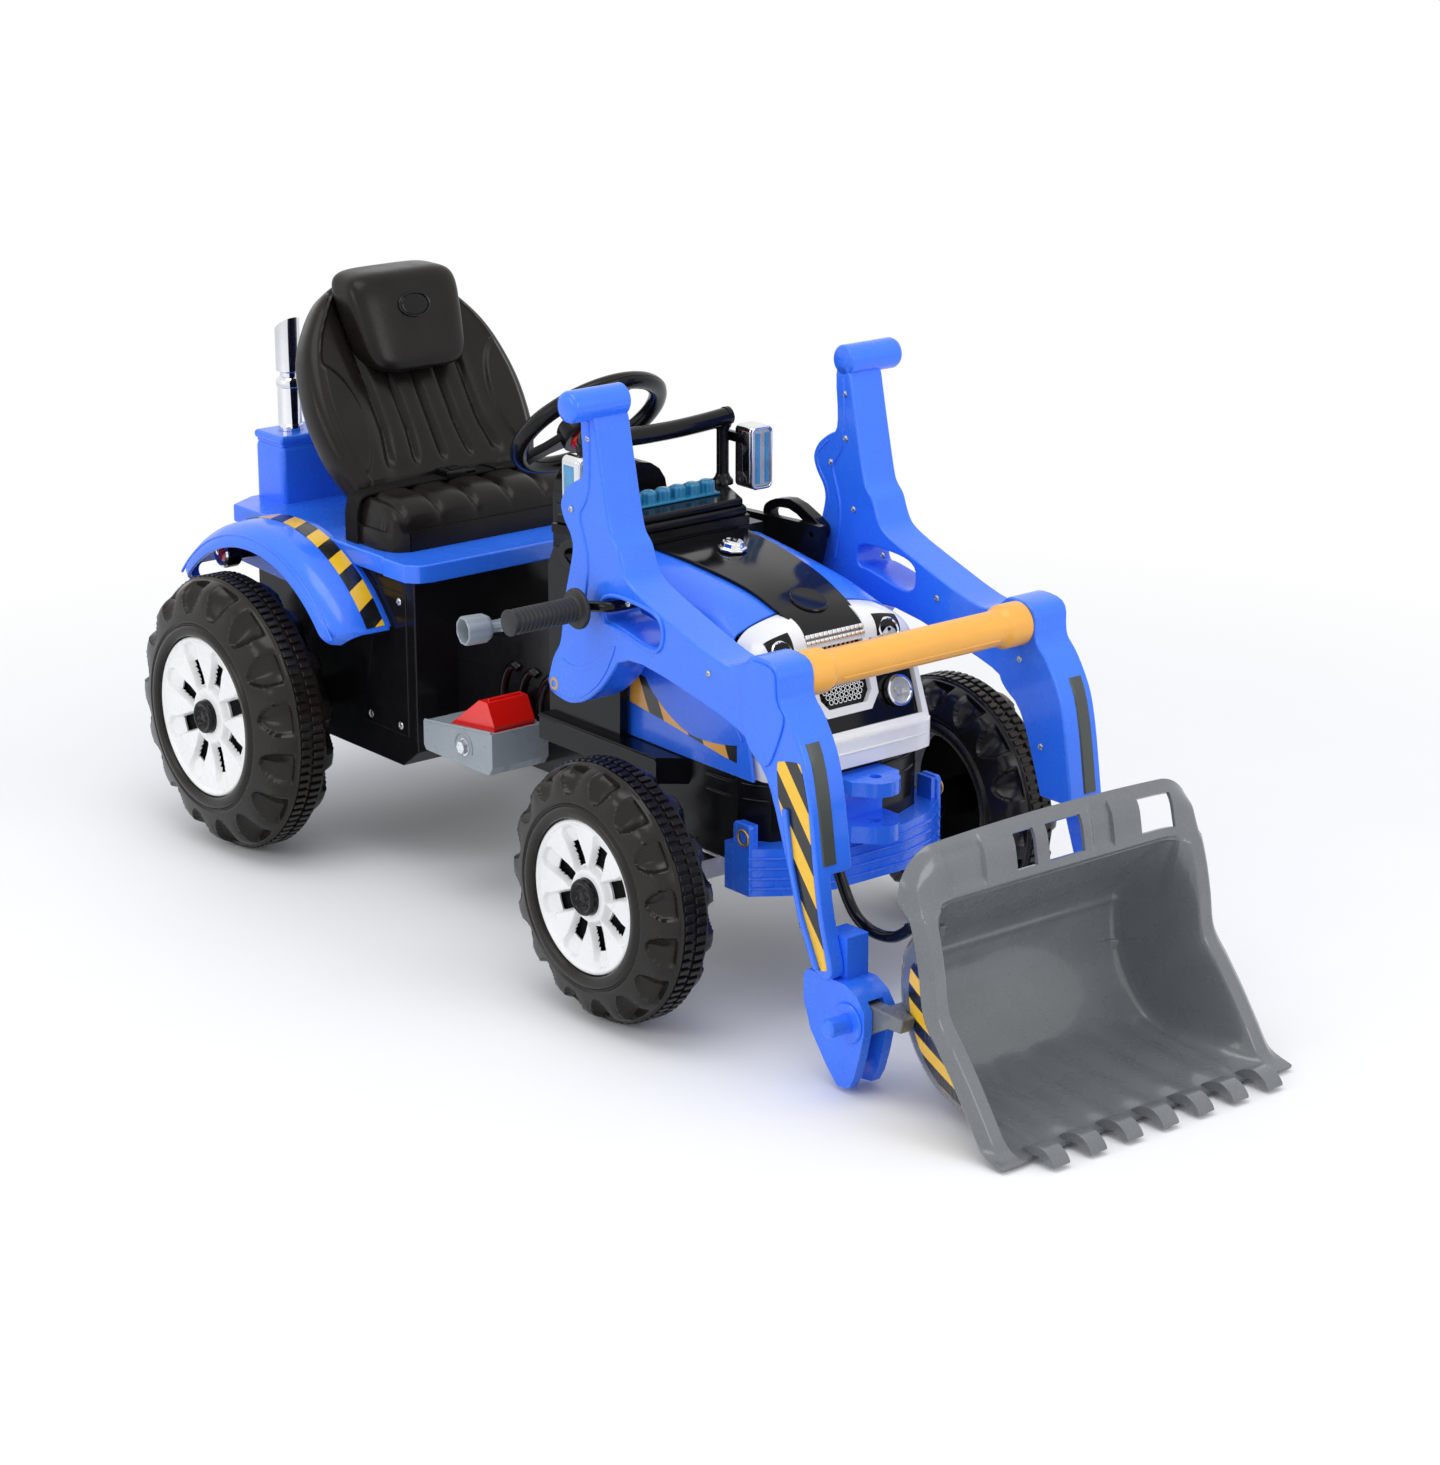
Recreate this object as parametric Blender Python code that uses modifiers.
"""Ride-on front loader for a child, built as separate named pieces.

Metres, +X forward, +Z up, the driver's right side is -Y, the ground is z = 0.
"""
import math

import bmesh
import bpy
from mathutils import Matrix, Vector

# Clearances
GAP = 0.0003
PIN_PLAY = 0.0003

# Wheels
WHEELBASE = 0.658
FRONT_AXLE_X = 0.1425
REAR_AXLE_X = FRONT_AXLE_X - WHEELBASE
FRONT_TYRE_R = 0.1286
REAR_TYRE_R = 0.150
FRONT_TYRE_OUT = 0.262
FRONT_TYRE_WIDTH = 0.082
REAR_TYRE_OUT = 0.275
REAR_TYRE_WIDTH = 0.097
FRONT_RIM_R = 0.0763
REAR_RIM_R = 0.088
TYRE_STEPS = 32
TYRE_SHOULDER = (0.024, 0.003)
TYRE_EDGE = (0.003, 0.018)
TYRE_PITCHES = 16
SCOOP_SHARE = 0.30
SCOOP_REACH = 0.0108
SCOOP_DEPTH = 0.0062
AXLE_R = 0.006
HUB_R = 0.020
HUB_END = 0.010
CAP_R = 0.018
CAP_THICK = 0.010
CAP_INSET = 0.003
RIM_SLOTS = 8
SLOT_HALF = 0.0055

# Front axle, knuckles and tie rod
AXLE_BEAM_HALF = 0.012
AXLE_BEAM_Z = 0.128
KINGPIN_Y = 0.153
KINGPIN_R = 0.004
KING_TUBE_R = 0.009
KING_TUBE_HALF = 0.014
EAR = 0.006
STEER_ARM = 0.045
STEER_PIN_R = 0.002
SPINDLE_BOSS_R = 0.0085
TIE_ROD_R = 0.0035
TIE_PLATE = 0.004

# Chassis, all half widths are from the centre plane
CHASSIS_FLOOR_Z = 0.145
CHASSIS_RIM_Z = 0.232
CHASSIS_HALF = 0.110
CHASSIS_NOSE_X = 0.238
WALL = 0.004
TUNNEL_HALF = 0.086
SILL_HALF = 0.134
SILL_LOW_Z = 0.205
POST_IN = 0.115
POST_OUT = 0.124
HOOK_X = 0.036
HOOK_Z = 0.400
HOOK_PIN_R = 0.003
BEARING_X = 0.115

# Middle body, dash and roll hoop
BODY_FRONT_X = REAR_AXLE_X + 0.2155
MID_TOP_Z = 0.411
MID_FRONT_X = -0.004
CONSOLE_HALF = 0.050
CONSOLE_REAR_X = -0.176
CONSOLE_FRONT_X = -0.114
CONSOLE_LOW_Z = 0.300
CONSOLE_TOP_Z = 0.462
DASH_HEIGHT = 0.026
DASH_KNOBS = 6
DASH_KNOB_R = 0.0085
DASH_KNOB_PITCH = 0.0186
KNOB_ROW_X = -0.046
HOOP_X = -0.072
HOOP_HALF = 0.087
HOOP_TOP_Z = 0.508
HOOP_BAR_R = 0.0095
HOOP_LEG_R = 0.0065
LAMP_X = -0.048
LAMP_Y = 0.1095
LAMP_Z = 0.467

# Rear body and deck
BODY_REAR_X = REAR_AXLE_X - 0.0895
BODY_HALF = 0.138
BODY_FLOOR_Z = 0.115
DECK_TOP_Z = 0.342
DECK_THICK = 0.020
DECK_FRONT_X = BODY_FRONT_X + 0.012
DECK_REAR_X = BODY_REAR_X - 0.055
DECK_OVERHANG = 0.008
DECK_HALF = BODY_HALF + DECK_OVERHANG
GEARBOX_HALF = 0.050
GEARBOX_REAR = 0.034
GEARBOX_FRONT = 0.058
GEARBOX_RISE = 0.074
BATTERY_CLEARANCE = 0.0175
BATTERY_LENGTH = 0.095
BATTERY_HALF = 0.070
BATTERY_RISE = 0.094
AXLE_BOSS_R = 0.016

# Fenders over the rear wheels
FENDER_R = 0.200
FENDER_SKIN = 0.0035
FENDER_OUT = 0.212
FENDER_IN = DECK_HALF - 0.004
FENDER_X = REAR_AXLE_X + 0.0085
FENDER_Z = 0.152
FENDER_FRONT_DEG = 34.0
FENDER_REAR_DEG = 141.0
FENDER_STEPS = 11
TAIL_X = REAR_AXLE_X - 0.0845
TAIL_Z = 0.300
TAIL_R = 0.016

# Rear box behind the seat and the exhaust that stands on it
REAR_BOX_FRONT_X = DECK_REAR_X + 0.060
REAR_BOX_HALF = 0.105
REAR_BOX_TOP_Z = 0.418
EXHAUST_Y = -0.074
EXHAUST_X = DECK_REAR_X + 0.030
EXHAUST_R = 0.011
CAN_R = 0.014

# Loader arms
ARM_IN = 0.1375
ARM_THICK = 0.0425
ARM_OUT = ARM_IN + ARM_THICK
LEG_IN = 0.1635
LEG_CUT_Z = 0.200
LIFT_X = 0.000
LIFT_Z = 0.292
LIFT_BOLT_R = 0.0045
BUSH_R = 0.0065
KNOB_X = 0.056
KNOB_Z = 0.578
KNOB_R = 0.0155
KNOB_OUT = 0.205
BAR_X = 0.316
BAR_Z = 0.366
BAR_R = 0.0175
BAR_COLLAR_R = 0.0215
BAR_COLLAR = 0.026
BAR_BORE = 0.012

# Bucket and its brackets
TILT_X = 0.428
TILT_Z = 0.070
TILT_PIN_R = 0.006
BRACKET_OUT = 0.172
BRACKET_IN = 0.134
STUB_R = 0.009
STUB_OUT = 0.198
LUG_IN = 0.1445
LUG_OUT = 0.1615
LUG_R = 0.020
BUCKET_HALF = 0.183
BUCKET_WALL = 0.004
WINDOW_LOW_Z = 0.214
WINDOW_TOP_Z = 0.248
TEETH = 7
TOOTH_WIDTH = 0.020
TOOTH_SPAN = 0.270

# Tilt rod with its grip
ROD_R = 0.0055
ROD_Y = 0.122
ROD_LUG_X = 0.456
ROD_LUG_Z = 0.158
ROD_LUG_IN = 0.106
ROD_LUG_OUT = 0.114
GRIP_X = 0.061
GRIP_Z = 0.384
GRIP_R = 0.0125
GRIP_FLANGE_R = 0.020
GRIP_IN = 0.1955
GRIP_OUT = 0.280

# Steering
WHEEL_X = -0.180
WHEEL_Z = 0.493
WHEEL_R = 0.078
WHEEL_GRIP_R = 0.0095
WHEEL_TILT = math.radians(43.0)
WHEEL_HUB_R = 0.026
WHEEL_COLLAR_R = 0.034
WHEEL_HUB_LOW = -0.022
WHEEL_HUB_TOP = 0.012
SPOKE_DEGREES = (0.0, 130.0, 230.0)
HORN_R = 0.0142
HORN_POCKET = 0.006
HORN_TRAVEL = 0.002
COLUMN_R = 0.006
COLUMN_LENGTH = 0.440

# Hood, fascia and front skirt
HOOD_SKIN = 0.004
NOSE_X = 0.236
NOSE_Z = 0.262
NOSE_LEAN = math.radians(19.0)
POCKET_DEPTH = 0.012
PANEL_FACE = -0.006
HEADLAMP_Y = 0.066
HEADLAMP_RISE = 0.031
HEADLAMP_R = 0.0155
LIP_X = 0.249
SKIRT_LOW_Z = 0.122
SKIRT_TOP_Z = 0.1695
SKIRT_HALF = 0.122
SKIRT_FRONT_X = 0.262
CLEVIS_HALF = 0.034
CLEVIS_HOLE_R = 0.006
CLEVIS_HOLE_X = 0.268

# Seat
SEAT_HALF = 0.134
SEAT_REAR_X = BODY_FRONT_X - 0.130
SEAT_TOP_Z = 0.396
BACK_FOOT_X = SEAT_REAR_X - GAP
BACK_CREASE_Z = 0.400
BACK_LEAN = math.radians(33.7)
BACK_THICK = 0.042
BACK_LENGTH = 0.232
HEADREST_HALF = 0.072
HEADREST_LOW_Z = 0.500
HEADREST_TOP_Z = 0.605
FLUTES = 5
BELT_X = SEAT_REAR_X + 0.002
BELT_WIDTH = 0.023
BELT_THICK = 0.002

# Foot boxes, pedal and gear lever
FOOT_REAR_X = BODY_FRONT_X + 0.038
FOOT_FRONT_X = FOOT_REAR_X + 0.122
FOOT_OUT = 0.157
FOOT_FLOOR_Z = 0.155
FOOT_REAR_Z = 0.186
FOOT_FRONT_Z = 0.200
PEDAL_X = FOOT_REAR_X + 0.042
PEDAL_Z = 0.184
PEDAL_PIN_R = 0.003
PEDAL_IN = 0.097
PEDAL_OUT = 0.148
FOOT_BOLT_X = FOOT_REAR_X + 0.072
FOOT_BOLT_Z = 0.175
FOOT_BOLT_R = 0.0085
GEAR_X = -0.099
GEAR_Y = 0.094
GEAR_Z = 0.324
GEAR_ROD_R = 0.005
GEAR_PIN_R = 0.003
GEAR_KNOB_X = -0.112
GEAR_KNOB_Y = 0.190
GEAR_KNOB_R = 0.015


def clear_scene():
    for item in list(bpy.data.objects):
        bpy.data.objects.remove(item, do_unlink=True)


clear_scene()
PARTS = bpy.data.collections.new("ride_on_loader")
CUTTERS = bpy.data.collections.new("cutters")
for group in (PARTS, CUTTERS):
    bpy.context.scene.collection.children.link(group)
CUTTERS.hide_render = True


def paint(name, colour, roughness, metallic=0.0):
    """A plain material; colour is linear red, green, blue."""
    made = bpy.data.materials.new(name)
    made.use_nodes = True
    shader = made.node_tree.nodes["Principled BSDF"]
    shader.inputs["Base Color"].default_value = (*colour, 1.0)
    shader.inputs["Roughness"].default_value = roughness
    shader.inputs["Metallic"].default_value = metallic
    made.diffuse_color = (*colour, 1.0)
    return made


BLUE = (0.045, 0.180, 0.900)
BLACK = (0.012, 0.012, 0.013)
SOFT_BLACK = (0.018, 0.017, 0.016)
WHITE = (0.850, 0.850, 0.850)
GREY = (0.080, 0.088, 0.096)
PALE_GREY = (0.330, 0.370, 0.400)
YELLOW = (0.920, 0.480, 0.080)
RED = (0.900, 0.012, 0.008)
CHROME = (0.800, 0.800, 0.820)
BRASS = (0.600, 0.400, 0.160)
STEEL = (0.450, 0.450, 0.460)


def frame_of(direction):
    """Rotation that turns +Z to the given direction."""
    return Vector(direction).to_track_quat("Z", "Y").to_matrix().to_4x4()


def clean(shape):
    bmesh.ops.remove_doubles(shape, verts=shape.verts, dist=0.00002)
    bmesh.ops.recalc_face_normals(shape, faces=shape.faces)
    return shape


def merge(*shapes):
    """Several separate closed solids as one shape."""
    whole = bmesh.new()
    for shape in shapes:
        data = bpy.data.meshes.new("part")
        shape.to_mesh(data)
        whole.from_mesh(data)
        bpy.data.meshes.remove(data)
        shape.free()
    return whole


def box(x, y, z):
    """A box between pairs of limits on the three axes."""
    shape = bmesh.new()
    bmesh.ops.create_cube(shape, size=1.0)
    sizes = Vector((x[1] - x[0], y[1] - y[0], z[1] - z[0]))
    middle = Vector((x[0] + x[1], y[0] + y[1], z[0] + z[1])) / 2.0
    bmesh.ops.scale(shape, vec=sizes, verts=shape.verts)
    bmesh.ops.translate(shape, vec=middle, verts=shape.verts)
    return shape


def rod(start, end, radius, sides=16, end_radius=None):
    """A cylinder or cone from one point to another."""
    start, end = Vector(start), Vector(end)
    along = end - start
    shape = bmesh.new()
    top = radius if end_radius is None else end_radius
    bmesh.ops.create_cone(shape, cap_ends=True, segments=sides, radius1=radius,
                          radius2=top, depth=along.length)
    place = Matrix.Translation((start + end) / 2.0) @ frame_of(along)
    bmesh.ops.transform(shape, matrix=place, verts=shape.verts)
    return shape


def from_object(item):
    """The evaluated mesh of a helper object, which is then removed."""
    bpy.context.scene.collection.objects.link(item)
    bpy.context.view_layer.update()
    graph = bpy.context.evaluated_depsgraph_get()
    data = bpy.data.meshes.new_from_object(item.evaluated_get(graph))
    shape = bmesh.new()
    shape.from_mesh(data)
    bmesh.ops.transform(shape, matrix=item.matrix_world, verts=shape.verts)
    source = item.data
    bpy.data.objects.remove(item)
    bpy.data.meshes.remove(data)
    if isinstance(source, bpy.types.Curve):
        bpy.data.curves.remove(source)
    else:
        bpy.data.meshes.remove(source)
    return clean(shape)


PLANES = {
    "x": Matrix(((0, 0, 1, 0), (1, 0, 0, 0), (0, 1, 0, 0), (0, 0, 0, 1))),
    "y": Matrix(((1, 0, 0, 0), (0, 0, -1, 0), (0, 1, 0, 0), (0, 0, 0, 1))),
    "z": Matrix.Identity(4),
}


def slab(axis, outline, low, high, holes=()):
    """A flat outline given thickness along one axis, between low and high.

    The outline's two numbers are the other two axes, in the order x, y, z.
    """
    curve = bpy.data.curves.new("outline", "CURVE")
    curve.dimensions = "2D"
    curve.fill_mode = "BOTH"
    curve.extrude = abs(high - low) / 2.0
    for loop in (outline, *holes):
        line = curve.splines.new("POLY")
        line.points.add(len(loop) - 1)
        for point, (first, second) in zip(line.points, loop):
            point.co = (first, second, 0.0, 1.0)
        line.use_cyclic_u = True
    item = bpy.data.objects.new("outline", curve)
    middle = [(low + high) / 2.0 if axis == name else 0.0 for name in "xyz"]
    item.matrix_world = Matrix.Translation(middle) @ PLANES[axis]
    return from_object(item)


def turned(profile, steps, place=None):
    """A closed profile of (radius, height) turned about Z, then placed."""
    data = bpy.data.meshes.new("profile")
    count = len(profile)
    edges = [(i, (i + 1) % count) for i in range(count)]
    data.from_pydata([(r, 0.0, h) for r, h in profile], edges, [])
    item = bpy.data.objects.new("profile", data)
    screw = item.modifiers.new("turn", "SCREW")
    screw.steps = steps
    screw.render_steps = steps
    screw.use_merge_vertices = True
    screw.merge_threshold = 0.00005
    if place is not None:
        item.matrix_world = place
    return from_object(item)


def tube(points, radius, resolution=2, closed=False):
    """A round bar along points, with filled ends."""
    curve = bpy.data.curves.new("path", "CURVE")
    curve.dimensions = "3D"
    curve.bevel_depth = radius
    curve.bevel_resolution = resolution
    curve.use_fill_caps = not closed
    line = curve.splines.new("POLY")
    line.points.add(len(points) - 1)
    for point, place in zip(line.points, points):
        point.co = (*place, 1.0)
    line.use_cyclic_u = closed
    return from_object(bpy.data.objects.new("path", curve))


def sheet(rows, thickness, offset=1.0, smooth=0, close_rows=False):
    """A grid of points made a skin of the given thickness."""
    shape = bmesh.new()
    grid = [[shape.verts.new(point) for point in row] for row in rows]
    count = len(grid[0])
    for near, far in zip(grid, grid[1:]):
        for i in range(count if close_rows else count - 1):
            j = (i + 1) % count
            shape.faces.new((near[i], near[j], far[j], far[i]))
    data = bpy.data.meshes.new("skin")
    shape.to_mesh(data)
    shape.free()
    item = bpy.data.objects.new("skin", data)
    if smooth:
        rounder = item.modifiers.new("round", "SUBSURF")
        rounder.levels = smooth
        rounder.render_levels = smooth
        rounder.boundary_smooth = "PRESERVE_CORNERS"
    wall = item.modifiers.new("wall", "SOLIDIFY")
    wall.thickness = thickness
    wall.offset = offset
    wall.use_even_offset = True
    return from_object(item)


def loft(rings):
    """A closed solid through rings of equally many points."""
    shape = bmesh.new()
    grid = [[shape.verts.new(point) for point in ring] for ring in rings]
    count = len(grid[0])
    for near, far in zip(grid, grid[1:]):
        for i in range(count):
            j = (i + 1) % count
            shape.faces.new((near[i], near[j], far[j], far[i]))
    shape.faces.new(grid[0])
    shape.faces.new(grid[-1])
    return clean(shape)


def as_mesh(name, shape):
    data = bpy.data.meshes.new(name)
    shape.to_mesh(data)
    shape.free()
    return data


def cut(item, shape, operation="DIFFERENCE"):
    """Take a shape away from an object, or join it on."""
    tool = bpy.data.objects.new("cutter_" + item.name, as_mesh("cutter", shape))
    tool.display_type = "WIRE"
    CUTTERS.objects.link(tool)
    change = item.modifiers.new("cut", "BOOLEAN")
    change.operation = operation
    change.solver = "EXACT"
    change.object = tool


def join(item, shape):
    cut(item, shape, "UNION")


def piece(name, shape, colour, roughness=0.35, metallic=0.0, smooth=40.0, origin=None):
    """One named part. Its origin moves to the joint axis where one is given."""
    data = as_mesh(name, shape)
    item = bpy.data.objects.new(name, data)
    data.materials.append(paint(name, colour, roughness, metallic))
    PARTS.objects.link(item)
    if origin is not None:
        data.transform(Matrix.Translation(-Vector(origin)))
        item.location = origin
    if smooth:
        data.shade_smooth()
        data.set_sharp_from_angle(angle=math.radians(smooth))
    return item


def soften(item, width, segments=1, angle=30.0):
    """Round the hard edges of a piece."""
    edge = item.modifiers.new("edge", "BEVEL")
    edge.width = width
    edge.segments = segments
    edge.limit_method = "ANGLE"
    edge.angle_limit = math.radians(angle)
    return item


def arc(centre, radius, start, end, steps):
    """Points on an arc in a plane; the angles are in degrees."""
    made = []
    for i in range(steps + 1):
        turn = math.radians(start + (end - start) * i / steps)
        made.append((centre[0] + radius * math.cos(turn), centre[1] + radius * math.sin(turn)))
    return made


def rounded(low, high, radius, steps=2):
    """A rectangle with round corners, counter-clockwise."""
    x0, y0 = low
    x1, y1 = high
    corners = (((x1 - radius, y0 + radius), -90.0), ((x1 - radius, y1 - radius), 0.0),
               ((x0 + radius, y1 - radius), 90.0), ((x0 + radius, y0 + radius), 180.0))
    made = []
    for centre, start in corners:
        made += arc(centre, radius, start, start + 90.0, steps)
    return made


def across(side, near, far):
    """Limits on Y for a piece on one side, in rising order."""
    return tuple(sorted((side * near, side * far)))


SIDES = (("right", -1), ("left", 1))


# Wheels

def scoop_cutters(place, tyre_r, width):
    """D-shaped cutters round both shoulders, their straight side at the tread.

    Those of the inner shoulder stand half a pitch on.
    """
    middle = (tyre_r - (TYRE_SHOULDER[0] + TYRE_EDGE[0]) / 2, 0.0, (TYRE_SHOULDER[1] + TYRE_EDGE[1]) / 2)
    lean = math.atan2(TYRE_EDGE[1] - TYRE_SHOULDER[1], TYRE_SHOULDER[0] - TYRE_EDGE[0])
    half = SCOOP_SHARE * math.tau * middle[0] / TYRE_PITCHES
    outline = [(SCOOP_REACH, -half), (SCOOP_REACH, half)] + arc((0.0, 0.0), half, 90.0, 270.0, 4)
    on_slope = Matrix.Translation(middle) @ Matrix.Rotation(-lean, 4, "Y")
    over = Matrix.Translation((0.0, 0.0, width)) @ Matrix.Rotation(math.pi, 4, "X")
    scoops = []
    for shoulder, shift in ((Matrix.Identity(4), 0.5), (over, 0.0)):
        for i in range(TYRE_PITCHES):
            scoop = slab("z", outline, -0.015, SCOOP_DEPTH)
            turn = Matrix.Rotation(math.tau * (i + shift) / TYRE_PITCHES, 4, "Z")
            bmesh.ops.transform(scoop, matrix=place @ turn @ shoulder @ on_slope, verts=scoop.verts)
            scoops.append(scoop)
    return merge(*scoops)


def make_wheel(label, side, axle_x, tyre_r, rim_r, outer, width):
    """A tyre, its rim and its cap; their +Z runs inward from the outer face."""
    centre = (axle_x, side * outer, tyre_r)
    place = Matrix.Translation(centre) @ frame_of((0.0, -side, 0.0))
    shoulder = tyre_r - TYRE_SHOULDER[0]
    edge = tyre_r - TYRE_EDGE[0]
    foot = rim_r + 0.012
    half_tread = [(rim_r, 0.006), (foot, 0.000), (shoulder, TYRE_SHOULDER[1]), (edge, TYRE_EDGE[1]),
                  (tyre_r, TYRE_EDGE[1] + 0.009)]
    tread = half_tread + [(radius, width - height) for radius, height in reversed(half_tread)]
    tyre = piece("tyre_" + label, turned(tread, TYRE_STEPS, place), SOFT_BLACK, 0.55, origin=centre)
    cut(tyre, scoop_cutters(place, tyre_r, width))

    face = CAP_INSET + CAP_THICK + GAP
    bore = AXLE_R + PIN_PLAY
    rim_end = width - 0.012
    hub_end = width - HUB_END
    dish = [(rim_r - GAP, 0.006), (rim_r - GAP, rim_end), (rim_r - 0.005, rim_end),
            (rim_r - 0.010, face + 0.014),
            (HUB_R, face + 0.008), (HUB_R, hub_end), (bore, hub_end), (bore, face), (HUB_R + 0.002, face),
            (rim_r - 0.018, face + 0.006), (rim_r - 0.008, 0.006)]
    rim = piece("rim_" + label, turned(dish, TYRE_STEPS, place), WHITE, 0.30, origin=centre)
    slots = []
    for i in range(RIM_SLOTS):
        slot = box((HUB_R + 0.009, rim_r - 0.020), (-SLOT_HALF, SLOT_HALF), (0.0, face + 0.030))
        turn = Matrix.Rotation(math.tau * (i + 0.5) / RIM_SLOTS, 4, "Z")
        bmesh.ops.transform(slot, matrix=place @ turn, verts=slot.verts)
        slots.append(slot)
    cut(rim, merge(*slots))

    cap = rod((0, 0, CAP_INSET), (0, 0, CAP_INSET + CAP_THICK), CAP_R, 16)
    bmesh.ops.transform(cap, matrix=place, verts=cap.verts)
    piece("hub_cap_" + label, cap, BLACK, 0.25, origin=centre)


# Front axle and steering under the floor

FORK_TOP_Z = AXLE_BEAM_Z + KING_TUBE_HALF + GAP
FORK_LOW_Z = AXLE_BEAM_Z - KING_TUBE_HALF - GAP
ARM_LOW_Z = FORK_LOW_Z - EAR + 0.0005
STEER_ARM_TOP_Z = ARM_LOW_Z + 0.0045
TIE_X = FRONT_AXLE_X - STEER_ARM
TIE_Z = STEER_ARM_TOP_Z + GAP + TIE_ROD_R


def make_front_axle():
    top = CHASSIS_FLOOR_Z - GAP
    low = AXLE_BEAM_Z - 0.010
    shoulder = AXLE_BEAM_Z + 0.010
    inner = KINGPIN_Y - 0.050
    outline = [(-KINGPIN_Y, low), (KINGPIN_Y, low), (KINGPIN_Y, shoulder), (inner, shoulder),
               (inner - 0.004, top), (-inner + 0.004, top), (-inner, shoulder), (-KINGPIN_Y, shoulder)]
    beam = piece("front_axle_beam", slab("x", outline, FRONT_AXLE_X - AXLE_BEAM_HALF,
                                         FRONT_AXLE_X + AXLE_BEAM_HALF), STEEL, 0.45, 0.8)
    ends = []
    bores = []
    for _, side in SIDES:
        x, y = FRONT_AXLE_X, side * KINGPIN_Y
        ends.append(rod((x, y, AXLE_BEAM_Z - KING_TUBE_HALF), (x, y, AXLE_BEAM_Z + KING_TUBE_HALF),
                        KING_TUBE_R))
        bores.append(rod((x, y, FORK_LOW_Z - EAR), (x, y, FORK_TOP_Z + EAR), KINGPIN_R + PIN_PLAY))
    join(beam, merge(*ends))
    cut(beam, merge(*bores))


def make_knuckle(label, side):
    out = KINGPIN_Y + KING_TUBE_R + 0.0005
    plate = out + 0.009
    back = KINGPIN_Y - 0.009
    low = FORK_LOW_Z - EAR
    top = FORK_TOP_Z + EAR
    fork = [(back, low), (plate, low), (plate, top), (back, top), (back, FORK_TOP_Z), (out, FORK_TOP_Z),
            (out, FORK_LOW_Z), (back, FORK_LOW_Z)]
    fork = [(side * y, z) for y, z in fork]
    item = piece("knuckle_" + label, slab("x", fork, FRONT_AXLE_X - 0.010, FRONT_AXLE_X + 0.010), STEEL,
                 0.45, 0.8,
                 origin=(FRONT_AXLE_X, side * KINGPIN_Y, FRONT_TYRE_R))
    hub_inner = FRONT_TYRE_OUT - FRONT_TYRE_WIDTH + HUB_END - GAP
    tip = FRONT_TYRE_OUT - CAP_INSET - CAP_THICK - GAP - 0.001
    steps = [(0.0, plate - 0.002), (SPINDLE_BOSS_R, plate - 0.002), (SPINDLE_BOSS_R, hub_inner),
             (AXLE_R, hub_inner),
             (AXLE_R, tip), (0.0, tip)]
    place = Matrix.Translation((FRONT_AXLE_X, 0, FRONT_TYRE_R)) @ frame_of((0, side, 0))
    join(item, turned(steps, 16, place))
    y = side * KINGPIN_Y
    join(item, rod((FRONT_AXLE_X, y, low + 0.002), (FRONT_AXLE_X, y, top - 0.002), KINGPIN_R))
    arm = [(FRONT_AXLE_X + 0.006, y - 0.006), (FRONT_AXLE_X + 0.006, y + 0.006),
           (TIE_X - 0.005, y + 0.004), (TIE_X - 0.005, y - 0.004)]
    join(item, slab("z", arm, ARM_LOW_Z, STEER_ARM_TOP_Z))
    join(item, rod((TIE_X, y, ARM_LOW_Z + 0.001), (TIE_X, y, TIE_Z + 0.003), STEER_PIN_R, 12))


def make_tie_rod():
    reach = KINGPIN_Y - 0.008
    item = piece("tie_rod", rod((TIE_X, -reach, TIE_Z), (TIE_X, reach, TIE_Z), TIE_ROD_R, 10), STEEL, 0.4,
                 0.8,
                 origin=(TIE_X, 0, TIE_Z))
    plates = []
    for _, side in SIDES:
        y0, y1 = across(side, reach - 0.004, KINGPIN_Y + 0.007)
        outline = [(TIE_X - 0.007, y0), (TIE_X + 0.010, y0), (TIE_X + 0.010, y1), (TIE_X - 0.007, y1)]
        play = STEER_PIN_R + 0.0005
        y = side * KINGPIN_Y
        hole = [(TIE_X - play, y - play), (TIE_X + play + 0.003, y - play), (TIE_X + play + 0.003, y + play),
                (TIE_X - play, y + play)]
        low = STEER_ARM_TOP_Z + GAP
        plates.append(slab("z", outline, low, low + TIE_PLATE, (hole,)))
    join(item, merge(*plates))


# Chassis, middle body and dash

def tub_outline(inset):
    """The tub seen from above, drawn in from its outside by the inset."""
    waist = TUNNEL_HALF - inset
    half = CHASSIS_HALF - inset
    nose = CHASSIS_NOSE_X - inset
    side = [(BODY_FRONT_X + GAP + inset, -waist), (-0.036 + inset, -waist), (-0.020 + inset, -half),
            (0.195 - inset / 2, -half), (0.222 - inset * 0.7, -0.092 + inset * 0.7), (nose - 0.003, -0.060),
            (nose, -0.030)]
    return side + [(x, -y) for x, y in reversed(side)]


def column_point(along):
    """A place on the steering axis, measured down from the wheel's centre."""
    return (WHEEL_X + along * math.sin(WHEEL_TILT), 0.0, WHEEL_Z - along * math.cos(WHEEL_TILT))


def column_bore():
    return rod(column_point(0.02), column_point(COLUMN_LENGTH + 0.02), COLUMN_R + PIN_PLAY)


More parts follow.
